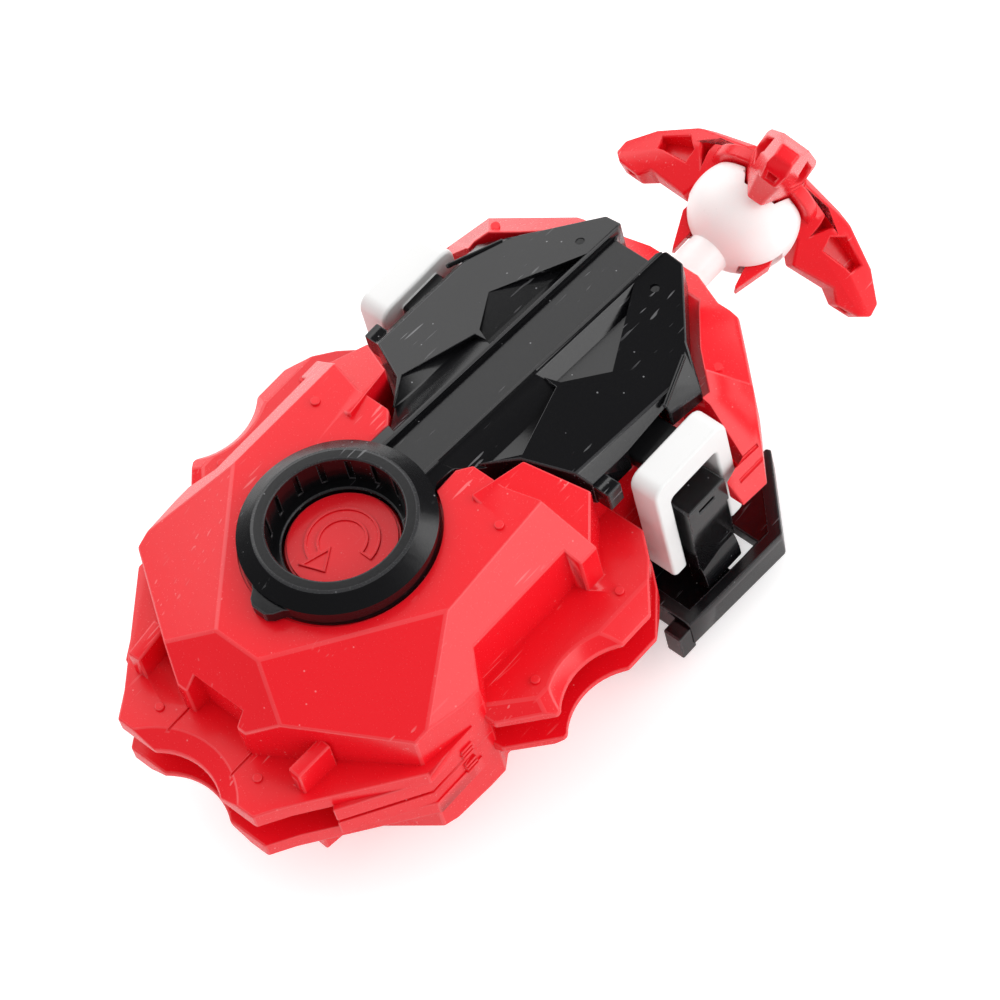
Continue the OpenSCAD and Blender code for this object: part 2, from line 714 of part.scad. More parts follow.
// An outline in the plane of the stem and a blade, given as stem and blade lengths, drawn out across it
module across_blade(outline, from, to) {
  translate([from, 0, 0]) rotate([90, 0, 90]) linear_extrude(to - from) polygon(outline);
}
blade_half = arm_w / 2;
blade_section = both([[1.3, -1.4], [blade_half, 7], [blade_half, 10.6], [blade_half / 2, 13]]);
blade_side = [[2.6, 4], [2.6, 9.9], [-1, 12.8], [0.85, 21.4], [-0.8, 24], [0.2, arm_r - 2.2], [2, arm_r],
              [4.6, arm_r - 0.4], [8.3, 25], [11.8, 13], [12.4, 4]];
blade_taper = both([[blade_half + 0.2, 4], [blade_half + 0.2, 14], [1.6, arm_r + 1]]);
leg_plan = [[5, grip_low + 0.6], [5, -3], [6.3, -12.3], [6.8, -12.5], [9.2, -5.6], [8.8, -3.4], [7.3, -2.8],
            [7.3, grip_low + 0.6]];
module handle_hub() {
  color("seashell") upper() difference() {
    union() {
      shaft_y(stem_d / 2, stem_y, dome_y - 4);
      grip_pose() intersection() {
        rotate([90, 0, 0]) sphere(r = dome_r);
        shaft_y(dome_d, -dome_d, grip_low + 4.4);
      }
    }
    // String bore and the room of the knot
    shaft_y(string_d / 2 + 0.3, 0, dome_y);
    shaft_y(knot_r + gap, knot_y - knot_r, dome_y + grip_low + 0.5);
    grip_pose() {
      shaft_y(dome_r - 2.4, grip_low, dome_d);
      at_arms() prism(both([[3.2, 2], [4.9, 5.6], [4.9, 9]]), 3, dome_d);
      // Windows of the grip's snap legs
      for (side = [-1, 1]) scale([side, 1, 1]) {
        block([4.7, 7.6], [-4, grip_low + 1], [-1.9, 1.9]);
        block([4.7, dome_d], [-dome_d, -2.4], [-1.9, 1.9]);
      }
    }
  }
}
module handle_spider() {
  color("red") upper() grip_pose() {
    shaft_y(dome_r - 2.6, grip_low + 0.2, grip_low + grip_t);
    shaft_y(dome_r + 0.3, grip_low + 4.8, grip_low + grip_t + 1.4);
    at_arms() arm();
    sides() prism(leg_plan, -1.6, 1.6);
  }
}
// One blade: a kite-shaped section that tapers to the tip, hollowed by ribbed pockets on both flanks
module arm() {
  difference() {
    intersection() {
      prism(blade_section, 4, arm_r);
      across_blade(blade_side, -arm_w, arm_w);
      rotate([90, 0, 0]) translate([0, 0, -20]) linear_extrude(40) polygon(blade_taper);
    }
    sides() {
      across_blade([[7.2, 22.6], [4.9, 21.9], [4.3, 15], [6.6, 14.2], [8.7, 16.7]], 1, arm_w);
      across_blade([[8.2, 13.2], [4.8, 11.4], [9.4, 10.9]], 1.8, arm_w);
    }
    across_blade([[-4, 25.2], [1.2, 25.2], [1.2, 27.2], [-4, 27.6]], -0.8, 0.8);
  }
}

// Side buttons, their springs and the latch blocks that they straddle
module side_button() {
  half = button_l / 2;
  outer_r = 2.6;
  inner_r = 1;
  foot_r = 1.2;
  window = half - leg_w;
  bar_low = button_top - button_bar;
  // Right half of the loop from the top round the leg to the window
  loop = concat(corner([half - outer_r, button_top - outer_r], outer_r, 90),
                corner([half - foot_r, button_foot + foot_r], foot_r, 0), [[window, button_foot]],
                [for (i = [4:-1:0]) corner([window - inner_r, bar_low - inner_r], inner_r, 90)[i]]);
  translate([button_x, button_y, 0]) rotate([90, 0, 90]) linear_extrude(button_d)
    polygon(concat(loop, [for (i = [len(loop) - 1:-1:0]) [-loop[i][0], loop[i][1]]]));
  block([button_x - guide_l, button_x + 1], [button_y - 4.6, button_y + 4.6], [bar_low, button_top - 2.4]);
}
// Five points of a quarter circle, turning clockwise from an angle
function corner(c, r, a) = [for (i = [0:4]) c + polar(r, a - i * 22.5)];
module side_button_right() {
  color("white") upper() side_button();
}
module side_button_left() {
  color("white") upper() mirror([1, 0, 0]) side_button();
}
module side_latch() {
  out_x = button_x + button_d + 2;
  near_x = 24.7;
  difference() {
    union() {
      block([near_x, out_x], [button_y - latch_l / 2, button_y + latch_l / 2], [0, latch_top]);
      block([near_x, out_x - 0.5], [button_y - latch_l / 2, button_y + latch_l / 2], [latch_foot, 0]);
      // Curved tongue below the block, reaching into the side frame
      translate([out_x, button_y + latch_l / 2 - 0.3, latch_foot]) rotate([90, 0, 0])
        linear_extrude(latch_l - 0.6) polygon([[-3.6, 0.5], [-3.6, -6.2], [-1.4, -7], [0.3, -6.2],
          [0.25, -3.6], [-0.2, -1.2], [-0.9, 0.5]]);
    }
    block([out_x - 0.8, out_x + 1], [button_y - 2.2, button_y + 1.6], [latch_top - 2.4, latch_top - 1.6]);
  }
}
module side_latch_right() {
  color("dimgray") upper() side_latch();
}
module side_latch_left() {
  color("dimgray") upper() mirror([1, 0, 0]) side_latch();
}
// A round wire wound into a spring along X
module button_spring() {
  coils = 5;
  wire = 0.6;
  coil_r = 1.9;
  rings = 10;
  facets = 6;
  length = 7;
  points = [for (i = [0:coils * rings]) for (k = [0:facets - 1])
    let (a = i * 360 / rings, r = coil_r + wire / 2 * cos(k * 360 / facets))
    [i * (length - wire) / (coils * rings) + wire / 2 + wire / 2 * sin(k * 360 / facets), r * cos(a), r * sin(a)]];
  last = coils * rings * facets;
  faces = concat([[for (k = [facets - 1:-1:0]) k]], [[for (k = [0:facets - 1]) last + k]],
    [for (i = [0:coils * rings - 1]) for (k = [0:facets - 1]) for (half = [0, 1])
      let (a = i * facets + k, b = i * facets + (k + 1) % facets)
      half == 0 ? [a, b, b + facets] : [a, b + facets, a + facets]]);
  translate([button_x - guide_l - length - 0.3, button_y, button_top - button_bar / 2])
    polyhedron(points, [for (face = faces) [for (i = [len(face) - 1:-1:0]) face[i]]]);
}
module button_spring_right() {
  color("silver") upper() button_spring();
}
module button_spring_left() {
  color("silver") upper() mirror([1, 0, 0]) button_spring();
}

upper_shell();
lower_shell();
top_plate();
bottom_plate();
casing_screws();
plate_screws();
upper_bush();
lower_bush();
drive_gear();
clutch_hub();
clutch_pawls();
core_shaft();
top_disc();
claw_disc();
launch_claws();
string_spool();
spool_cap();
string_winding();
spool_axle();
axle_washers();
return_spring();
string_guide();
string_lead();
string_knot();
handle_hub();
handle_spider();
side_button_right();
side_button_left();
side_latch_right();
side_latch_left();
button_spring_right();
button_spring_left();
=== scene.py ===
import math

import bpy
import numpy as np
from mathutils import Matrix, Vector


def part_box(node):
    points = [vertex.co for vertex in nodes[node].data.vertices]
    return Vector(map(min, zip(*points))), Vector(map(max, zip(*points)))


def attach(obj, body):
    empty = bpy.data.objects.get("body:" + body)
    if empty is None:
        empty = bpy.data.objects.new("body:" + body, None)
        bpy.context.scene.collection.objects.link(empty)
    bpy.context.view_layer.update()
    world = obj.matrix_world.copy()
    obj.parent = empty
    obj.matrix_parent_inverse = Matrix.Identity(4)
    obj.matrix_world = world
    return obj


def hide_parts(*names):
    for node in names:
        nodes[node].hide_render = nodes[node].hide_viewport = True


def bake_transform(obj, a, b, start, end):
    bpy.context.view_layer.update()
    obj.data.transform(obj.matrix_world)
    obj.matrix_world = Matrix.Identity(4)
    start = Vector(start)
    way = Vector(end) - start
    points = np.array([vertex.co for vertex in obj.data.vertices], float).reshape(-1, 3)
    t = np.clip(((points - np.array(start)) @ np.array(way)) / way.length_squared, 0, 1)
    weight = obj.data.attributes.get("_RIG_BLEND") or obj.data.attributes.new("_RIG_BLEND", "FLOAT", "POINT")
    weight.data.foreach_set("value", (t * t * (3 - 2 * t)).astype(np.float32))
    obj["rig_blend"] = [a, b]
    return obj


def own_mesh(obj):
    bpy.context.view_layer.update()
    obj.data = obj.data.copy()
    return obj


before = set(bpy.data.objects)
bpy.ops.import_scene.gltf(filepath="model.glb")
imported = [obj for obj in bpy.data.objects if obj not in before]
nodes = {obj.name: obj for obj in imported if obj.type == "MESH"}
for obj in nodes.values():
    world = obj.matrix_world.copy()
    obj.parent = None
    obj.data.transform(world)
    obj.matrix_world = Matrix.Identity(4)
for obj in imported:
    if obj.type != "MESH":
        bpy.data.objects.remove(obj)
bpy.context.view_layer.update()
scene = bpy.context.scene
scene.view_settings.view_transform = "Standard"

# Studio: the camera stands high behind the right-hand rear corner and is rolled a little.
# A pale floor carries the launcher between a tall and a low soft lamp, in an even surrounding
# that shows white to the camera and dim in the gloss of the plastic.
view_turn = math.radians(55.99)
view_rise = math.radians(55.79)
view_roll = math.radians(-17.01)
view_range = 0.7935
view_aim = Vector((0.01866, 0.02028, 0.0536))
view_back = Vector((math.sin(view_turn) * math.cos(view_rise),
                    -math.cos(view_turn) * math.cos(view_rise), math.sin(view_rise)))
level_right = Vector((math.cos(view_turn), math.sin(view_turn), 0))
level_up = view_back.cross(level_right)
view_right = math.cos(view_roll) * level_right + math.sin(view_roll) * level_up
view_up = -math.sin(view_roll) * level_right + math.cos(view_roll) * level_up
view_eye = view_aim + view_back * view_range
camera = bpy.data.objects.new("camera", bpy.data.cameras.new("camera"))
camera.data.lens = 171.8
camera.data.sensor_width = 36
camera.data.clip_end = 20
camera.matrix_world = Matrix((
    (view_right.x, view_up.x, view_back.x, view_eye.x),
    (view_right.y, view_up.y, view_back.y, view_eye.y),
    (view_right.z, view_up.z, view_back.z, view_eye.z),
    (0, 0, 0, 1)))
scene.collection.objects.link(camera)
scene.camera = camera

launcher_middle = Vector((0, 0.03, 0.03))
lamp_range = 1.2


def soft_lamp(name, turn, rise, width, height, power):
    """A soft lamp that faces the launcher, seen from there at a turn from +X and a rise, in degrees."""
    turn = math.radians(turn)
    rise = math.radians(rise)
    away = Vector((math.cos(rise) * math.cos(turn), math.cos(rise) * math.sin(turn), math.sin(rise)))
    lamp = bpy.data.objects.new(name, bpy.data.lights.new(name, "AREA"))
    lamp.data.shape = "RECTANGLE"
    lamp.data.size = width
    lamp.data.size_y = height
    lamp.data.energy = power
    lamp.location = launcher_middle + away * lamp_range
    lamp.rotation_euler = (-away).to_track_quat("-Z", "Y").to_euler()
    scene.collection.objects.link(lamp)


soft_lamp("left_lamp", 160, 36, 1.4, 0.92, 6.6)
soft_lamp("right_lamp", 40, 28, 1.4, 0.56, 6.8)

sky_strength = 0.9
sky_gloss_strength = 0.09
surrounding = bpy.data.worlds.new("surrounding")
scene.world = surrounding
surrounding.use_nodes = True
sky = surrounding.node_tree
sky.nodes.clear()
sky_out = sky.nodes.new("ShaderNodeOutputWorld")
sky_mix = sky.nodes.new("ShaderNodeMixShader")
sky_light = sky.nodes.new("ShaderNodeBackground")
sky_light.inputs["Color"].default_value = (1, 1, 1, 1)
sky_dim = sky.nodes.new("ShaderNodeMapRange")
sky_dim.inputs["To Min"].default_value = sky_strength
sky_dim.inputs["To Max"].default_value = sky_gloss_strength
sky_seen = sky.nodes.new("ShaderNodeBackground")
sky_seen.inputs["Color"].default_value = (1, 1, 1, 1)
sky_seen.inputs["Strength"].default_value = 1
sky_ray = sky.nodes.new("ShaderNodeLightPath")
sky.links.new(sky_ray.outputs["Is Glossy Ray"], sky_dim.inputs["Value"])
sky.links.new(sky_dim.outputs["Result"], sky_light.inputs["Strength"])
sky.links.new(sky_ray.outputs["Is Camera Ray"], sky_mix.inputs["Fac"])
sky.links.new(sky_light.outputs["Background"], sky_mix.inputs[1])
sky.links.new(sky_seen.outputs["Background"], sky_mix.inputs[2])
sky.links.new(sky_mix.outputs["Shader"], sky_out.inputs["Surface"])

floor_reach = 3.0
floor_level = -0.0004
floor_lift = 0.36
floor_corners = [(across * floor_reach, along * floor_reach, floor_level)
                 for across, along in ((-1, -1), (1, -1), (1, 1), (-1, 1))]
floor_mesh = bpy.data.meshes.new("floor")
floor_mesh.from_pydata(floor_corners, [], [(0, 1, 2, 3)])
floor = bpy.data.objects.new("floor", floor_mesh)
scene.collection.objects.link(floor)
floor_paper = bpy.data.materials.new("floor_paper")
floor_paper.use_nodes = True
paper = floor_paper.node_tree
paper_shader = paper.nodes["Principled BSDF"]
paper_shader.inputs["Base Color"].default_value = (0.93, 0.93, 0.93, 1)
paper_shader.inputs["Roughness"].default_value = 0.9
paper_shader.inputs["Specular IOR Level"].default_value = 0.1
paper_shader.inputs["Emission Color"].default_value = (1, 1, 1, 1)
paper_ray = paper.nodes.new("ShaderNodeLightPath")
paper_lift = paper.nodes.new("ShaderNodeMath")
paper_lift.operation = "MULTIPLY"
paper_lift.inputs[1].default_value = floor_lift
paper.links.new(paper_ray.outputs["Is Camera Ray"], paper_lift.inputs[0])
paper.links.new(paper_lift.outputs["Value"], paper_shader.inputs["Emission Strength"])
floor_mesh.materials.append(floor_paper)

# Red shells: two halves of injection-moulded plastic, screwed together from below.
# Every outer edge has a small moulded radius, and its rounded strip is painted paler as a painted
# highlight; the faces are satin-smooth with faint flow marks, short scratches and specks of dust.
red_colour = (0.78, 0.004, 0.011, 1)
red_flow = (0.84, 0.007, 0.016, 1)
red_scratch = (0.92, 0.34, 0.35, 1)
# Painted highlight: the rounded edge strips get a paler red that stands in for the light they catch.
red_edge_highlight = (0.86, 0.080, 0.090, 1)
shell_radius = 0.0004
join_reach = 0.000004
strong_turn = 34
faint_turn = 9
faint_length = 0.003


def edge_rooms(mesh, radius, sharp):
    """Bevel weight and hardness of every edge of a solid.

    Triangles are joined by place, and edges over the sharp angle are strung into runs between corners.
    An outer run's weight is its room over the radius, at most 1. The room is the least of a third of
    the runs that meet at its ends, two fifths of the way to the nearest run apart from it, and two
    fifths of the smooth edges that end on it. Inner corners and runs without room have no weight
    and stay hard, as do long faint creases."""
    place = np.empty(len(mesh.vertices) * 3)
    mesh.vertices.foreach_get("co", place)
    place = place.reshape(-1, 3)
    _, first, joined = np.unique(np.round(place / join_reach).astype(np.int64), axis=0,
                                 return_index=True, return_inverse=True)
    joined = joined.reshape(-1)
    spot = place[first]
    loops = np.empty(len(mesh.loops), np.int32)
    mesh.loops.foreach_get("vertex_index", loops)
    corners = joined[loops].reshape(-1, 3)
    opposite = corners[:, [2, 0, 1]].reshape(-1)
    normal = np.cross(spot[corners[:, 1]] - spot[corners[:, 0]],
                      spot[corners[:, 2]] - spot[corners[:, 0]])
    normal /= np.maximum(np.linalg.norm(normal, axis=1), 1e-20)[:, None]
    halves = np.sort(corners[:, [0, 1, 1, 2, 2, 0]].reshape(-1, 2), axis=1)
    ends, edge_of = np.unique(halves, axis=0, return_inverse=True)
    edge_of = edge_of.reshape(-1)
    order = np.argsort(edge_of, kind="stable")
    begins = np.searchsorted(edge_of[order], np.arange(len(ends)))
    one_side = order[begins]
    other_side = order[np.minimum(begins + 1, len(order) - 1)]
    turn = np.sum(normal[one_side // 3] * normal[other_side // 3], axis=1)
    turn = np.degrees(np.arccos(np.clip(turn, -1, 1)))
    turn[edge_of[other_side] != np.arange(len(ends))] = 0
    outer = np.sum(normal[one_side // 3] * (spot[opposite[other_side]] - spot[ends[:, 0]]), axis=1) < 0
    length = np.linalg.norm(spot[ends[:, 0]] - spot[ends[:, 1]], axis=1)
    strong = turn > strong_turn
    strong_count = np.bincount(ends[strong].reshape(-1), minlength=len(spot))
    on_rims = (strong_count[ends[:, 0]] == 2) & (strong_count[ends[:, 1]] == 2)
    keen = strong | ((turn > sharp) & ~on_rims)
    crease = (turn > faint_turn) & (length > faint_length) & ~on_rims & ~keen
    at_vertex = {}
    for index in np.flatnonzero(keen):
        for vertex in ends[index]:
            at_vertex.setdefault(int(vertex), []).append(int(index))
    run = {int(index): int(index) for index in np.flatnonzero(keen)}

    def root(index):
        while run[index] != index:
            index = run[index]
        return index

    corner_runs = {}
    for vertex, edges in at_vertex.items():
        away = [spot[ends[e].sum() - vertex] - spot[vertex] for e in edges]
        away = [d / max(np.linalg.norm(d), 1e-20) for d in away]
        if len(edges) == 2 and away[0] @ away[1] < -0.76:
            run[root(edges[0])] = root(edges[1])
        else:
            corner_runs[vertex] = edges
    runs = {index: root(index) for index in run}
    total = {}
    for index, name in runs.items():
        total[name] = total.get(name, 0) + length[index]
    room = {name: value / 3 for name, value in total.items()}
    mates = {name: {name} for name in total}
    for edges in corner_runs.values():
        names = {runs[e] for e in edges}
        least = min(total[name] for name in names) / 3
        for name in names:
            room[name] = min(room[name], least)
            mates[name] |= names
    for index in np.flatnonzero((turn > 1.5) & ~keen):
        for vertex in ends[index]:
            for e in at_vertex.get(int(vertex), []):
                room[runs[e]] = min(room[runs[e]], 0.4 * length[index])
    samples = []
    owner = []
    for index, name in runs.items():
        steps = max(1, int(length[index] / 0.0005))
        share = (np.arange(steps) + 0.5)[:, None] / steps
        samples.append(spot[ends[index, 0]] * (1 - share) + spot[ends[index, 1]] * share)
        owner += [name] * steps
    weight = np.zeros(len(ends))
    if samples:
        samples = np.vstack(samples)
        owner = np.array(owner)
        for name in total:
            mine = samples[owner == name]
            others = samples[~np.isin(owner, list(mates[name]))]
            low = mine.min(0) - 3 * radius
            high = mine.max(0) + 3 * radius
            near = others[np.all((others > low) & (others < high), axis=1)]
            for part in np.array_split(mine, len(mine) // 200 + 1):
                if len(near) and len(part):
                    gap = np.sqrt(((part[:, None, :] - near[None, :, :]) ** 2).sum(-1)).min()
                    room[name] = min(room[name], 0.4 * gap)
        for index, name in runs.items():
            share = min(1.0, room[name] / radius)
            weight[index] = share if outer[index] and share > 0.2 else 0
    hard = (keen & (weight == 0)) | crease
    pairs = np.empty(len(mesh.edges) * 2, np.int32)
    mesh.edges.foreach_get("vertices", pairs)
    pairs = np.sort(joined[pairs].reshape(-1, 2), axis=1)
    size = len(spot)
    found = np.searchsorted(ends[:, 0].astype(np.int64) * size + ends[:, 1],
                            pairs[:, 0].astype(np.int64) * size + pairs[:, 1])
    return weight[found], hard[found]


def moulded_edges(name, radius, sharp=22, segments=2):
    """Live modifiers that join a solid's triangles, dissolve flat faces and round its outer edges.

    The rounded strips take the second material slot, and edges without room stay hard."""
    node = nodes[name]
    weight, hard = edge_rooms(node.data, radius, sharp)
    marks = node.data.attributes
    weights = marks.new("bevel_weight_edge", "FLOAT", "EDGE")
    weights.data.foreach_set("value", weight)
    hards = marks.get("sharp_edge") or marks.new("sharp_edge", "BOOLEAN", "EDGE")
    hards.data.foreach_set("value", hard)
    weld = node.modifiers.new("weld", "WELD")
    weld.merge_threshold = join_reach
    flats = node.modifiers.new("flats", "DECIMATE")
    flats.decimate_type = "DISSOLVE"
    flats.angle_limit = math.radians(1)
    rounds = node.modifiers.new("rounds", "BEVEL")
    rounds.width = radius
    rounds.segments = segments
    rounds.limit_method = "WEIGHT"
    rounds.use_clamp_overlap = False
    rounds.material = 1
    shade = node.modifiers.new("shade", "WEIGHTED_NORMAL")
    shade.keep_sharp = True
    for polygon in node.data.polygons:
        polygon.use_smooth = True


def moulding_group():
    """Shader group for moulded plastic on Object coordinates.

    Flow is slow noise, Speckle is fine noise, Scratches is the higher of two thresholded noises that
    are stretched in different directions, where a slow noise says that hands rub, and Dust is the
    inside of small balls round scattered points."""
    group = bpy.data.node_groups.new("moulding", "ShaderNodeTree")
    for name in ("Flow", "Speckle", "Scratches", "Dust"):
        group.interface.new_socket(name, in_out="OUTPUT", socket_type="NodeSocketFloat")
    outputs = group.nodes.new("NodeGroupOutput")
    place = group.nodes.new("ShaderNodeTexCoord").outputs["Object"]

    def noise(vector, scale, detail):
        texture = group.nodes.new("ShaderNodeTexNoise")
        texture.inputs["Scale"].default_value = scale
        texture.inputs["Detail"].default_value = detail
        group.links.new(vector, texture.inputs["Vector"])
        return texture

    def between(value, low, high):
        limit = group.nodes.new("ShaderNodeMapRange")
        limit.inputs["From Min"].default_value = low
        limit.inputs["From Max"].default_value = high
        group.links.new(value, limit.inputs["Value"])
        return limit.outputs["Result"]

    def combine(operation, one, other):
        sum_up = group.nodes.new("ShaderNodeMath")
        sum_up.operation = operation
        group.links.new(one, sum_up.inputs[0])
        group.links.new(other, sum_up.inputs[1])
        return sum_up.outputs["Value"]

    flow = noise(place, 38, 3)
    speckle = noise(place, 2600, 2)
    lines = []
    for turn in (0.5, 2.0):
        stretch = group.nodes.new("ShaderNodeMapping")
        stretch.inputs["Rotation"].default_value = (0.1, 0.1, turn)
        stretch.inputs["Scale"].default_value = (1, 0.07, 1)
        group.links.new(place, stretch.inputs["Vector"])
        lines.append(between(noise(stretch.outputs["Vector"], 1700, 0).outputs["Fac"], 0.775, 0.81))
    rubbed = between(noise(place, 75, 1).outputs["Fac"], 0.52, 0.66)
    scratches = combine("MULTIPLY", combine("MAXIMUM", lines[0], lines[1]), rubbed)
    grains = group.nodes.new("ShaderNodeTexVoronoi")
    grains.inputs["Scale"].default_value = 330
    group.links.new(place, grains.inputs["Vector"])
    dust = between(grains.outputs["Distance"], 0.065, 0.035)
    group.links.new(flow.outputs["Fac"], outputs.inputs["Flow"])
    group.links.new(speckle.outputs["Fac"], outputs.inputs["Speckle"])
    group.links.new(scratches, outputs.inputs["Scratches"])
    group.links.new(dust, outputs.inputs["Dust"])
    return group


moulding = moulding_group()


def moulded_plastic(name, colour, pale, scratch, smooth, rough, scratch_share, dust_share, bump):
    """A plastic whose colour, roughness and relief follow the moulding group.

    Colour runs from colour to pale with the flow marks. Scratches and dust turn it to the scratch
    colour by their shares, and roughness runs from smooth to rough with the speckle."""
    material = bpy.data.materials.new(name)
    material.use_nodes = True
    tree = material.node_tree
    shader = tree.nodes["Principled BSDF"]
    marks = tree.nodes.new("ShaderNodeGroup")
    marks.node_tree = moulding
    tone = tree.nodes.new("ShaderNodeMix")
    tone.data_type = "RGBA"
    tone.inputs["A"].default_value = colour
    tone.inputs["B"].default_value = pale
    tree.links.new(marks.outputs["Flow"], tone.inputs["Factor"])
    dusty = tree.nodes.new("ShaderNodeMath")
    dusty.operation = "MULTIPLY"
    dusty.inputs[1].default_value = dust_share
    tree.links.new(marks.outputs["Dust"], dusty.inputs[0])
    share = tree.nodes.new("ShaderNodeMath")
    share.operation = "MULTIPLY_ADD"
    share.use_clamp = True
    share.inputs[1].default_value = scratch_share
    tree.links.new(marks.outputs["Scratches"], share.inputs[0])
    tree.links.new(dusty.outputs["Value"], share.inputs[2])
    worn = tree.nodes.new("ShaderNodeMix")
    worn.data_type = "RGBA"
    worn.inputs["B"].default_value = scratch
    tree.links.new(share.outputs["Value"], worn.inputs["Factor"])
    tree.links.new(tone.outputs["Result"], worn.inputs["A"])
    tree.links.new(worn.outputs["Result"], shader.inputs["Base Color"])
    gloss = tree.nodes.new("ShaderNodeMapRange")
    gloss.inputs["To Min"].default_value = smooth
    gloss.inputs["To Max"].default_value = rough
    tree.links.new(marks.outputs["Speckle"], gloss.inputs["Value"])
    tree.links.new(gloss.outputs["Result"], shader.inputs["Roughness"])
    relief = tree.nodes.new("ShaderNodeBump")
    relief.inputs["Strength"].default_value = bump
    relief.inputs["Distance"].default_value = 0.0002
    tree.links.new(marks.outputs["Speckle"], relief.inputs["Height"])
    tree.links.new(relief.outputs["Normal"], shader.inputs["Normal"])
    return material


def wear(name, material, edge=None):
    """Gives a solid one material all over, and its rounded edges another."""
    node = nodes[name]
    node.data.materials.clear()
    node.data.materials.append(material)
    node.data.materials.append(edge or material)


red_plastic = moulded_plastic("red_plastic", red_colour, red_flow, red_scratch,
                              0.20, 0.31, 0.4, 0.5, 0.05)
red_edge = moulded_plastic("red_edge", red_colour, red_edge_highlight, red_scratch,
                           0.20, 0.31, 0.3, 0.3, 0.05)
for name in ("upper_shell", "lower_shell"):
    moulded_edges(name, shell_radius)
    wear(name, red_plastic, red_edge)

# Black cover plates: glossier mouldings with the launch rings, the railed neck and the side frames,
# held by screws from inside the shells. Latch blocks, spool cap and claws are of the same plastic.
# Use has left fine pale scratches on the high faces, and the rounded edges carry a painted grey highlight.
black_colour = (0.0035, 0.0035, 0.0042, 1)
black_flow = (0.006, 0.006, 0.007, 1)
black_scratch = (0.30, 0.30, 0.31, 1)
# Painted highlight: the rounded edge strips are a grey black that stands in for the shine they catch.
black_edge_sheen = (0.035, 0.035, 0.037, 1)
black_plastic = moulded_plastic("black_plastic", black_colour, black_flow, black_scratch,
                                0.15, 0.27, 0.4, 0.6, 0.03)
black_edge = moulded_plastic("black_edge", black_edge_sheen, black_edge_sheen, black_scratch,
                             0.2, 0.32, 0.3, 0.3, 0.03)
black_radii = {"top_plate": 0.00035, "bottom_plate": 0.00035, "side_latch_right": 0.0004,
               "side_latch_left": 0.0004, "spool_cap": 0.00015, "launch_claws": 0.00015}
for name, radius in black_radii.items():
    moulded_edges(name, radius)
    wear(name, black_plastic, black_edge)

# Red core discs: moulded in the shells' plastic and carried by the core shaft.
# The upper one shows in the ring with a raised turning arrow, the lower one carries the claws.
disc_radius = 0.00012
for name in ("top_disc", "claw_disc"):
    moulded_edges(name, disc_radius)
    wear(name, red_plastic, red_edge)

# White buttons: satin loops at both sides with rounded corners, on black tongues that slide into
# the casing and are pushed out by a spring. Bushes and string guide are of the same white plastic.
white_colour = (0.75, 0.75, 0.745, 1)
white_flow = (0.80, 0.80, 0.795, 1)
white_scratch = (0.62, 0.61, 0.60, 1)
button_radius = 0.0006
tongue_length = 0.0087
white_plastic = moulded_plastic("white_plastic", white_colour, white_flow, white_scratch,
                                0.30, 0.46, 0.15, 0.2, 0.05)
button_plastic = moulded_plastic("button_plastic", white_colour, white_flow, white_scratch,
                                 0.30, 0.46, 0.15, 0.2, 0.05)
button_tree = button_plastic.node_tree
button_base = button_tree.nodes["Principled BSDF"].inputs["Base Color"]
button_place = button_tree.nodes.new("ShaderNodeTexCoord")
button_axes = button_tree.nodes.new("ShaderNodeSeparateXYZ")
button_tree.links.new(button_place.outputs["Object"], button_axes.inputs["Vector"])
button_out = button_tree.nodes.new("ShaderNodeMath")
button_out.operation = "ABSOLUTE"
button_tree.links.new(button_axes.outputs["X"], button_out.inputs[0])
button_tongue = button_tree.nodes.new("ShaderNodeMath")
button_tongue.operation = "LESS_THAN"
button_tongue.inputs[1].default_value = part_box("side_button_right")[0].x + tongue_length
button_tree.links.new(button_out.outputs["Value"], button_tongue.inputs[0])
button_mix = button_tree.nodes.new("ShaderNodeMix")
button_mix.data_type = "RGBA"
button_mix.inputs["B"].default_value = black_flow
button_tree.links.new(button_base.links[0].from_socket, button_mix.inputs["A"])
button_tree.links.new(button_tongue.outputs["Value"], button_mix.inputs["Factor"])
button_tree.links.new(button_mix.outputs["Result"], button_base)
for name in ("side_button_right", "side_button_left"):
    moulded_edges(name, button_radius, segments=3)
    wear(name, button_plastic)
for name in ("upper_bush", "lower_bush", "string_guide"):
    wear(name, white_plastic)

# Pull handle: a stem and ball in milky plastic that lets some light through, moulded in one,
# and a red three-armed grip that is pressed onto the ball.
milky_colour = (0.94, 0.88, 0.87, 1)
milky_flow = (0.96, 0.93, 0.92, 1)
hub_radius = 0.0003
grip_radius = 0.0005
milky_plastic = moulded_plastic("milky_plastic", milky_colour, milky_flow, white_scratch,
                                0.24, 0.38, 0.1, 0.15, 0.04)
milky_shader = milky_plastic.node_tree.nodes["Principled BSDF"]
milky_shader.inputs["Subsurface Weight"].default_value = 0.6
milky_shader.inputs["Subsurface Radius"].default_value = (0.004, 0.003, 0.003)
moulded_edges("handle_hub", hub_radius)
wear("handle_hub", milky_plastic)
moulded_edges("handle_spider", grip_radius)
wear("handle_spider", red_plastic)

# Drive inside the casing: natural plastic gears on the core's axis and the spool's axle,
# a turned brass clutch hub, and steel screws, pawls, washers and return spring.
gear_colour = (0.66, 0.62, 0.52, 1)
gear_flow = (0.72, 0.69, 0.60, 1)
gear_plastic = moulded_plastic("gear_plastic", gear_colour, gear_flow, white_scratch,
                               0.34, 0.5, 0.1, 0.0, 0.05)
for name in ("drive_gear", "core_shaft", "string_spool"):
    wear(name, gear_plastic)


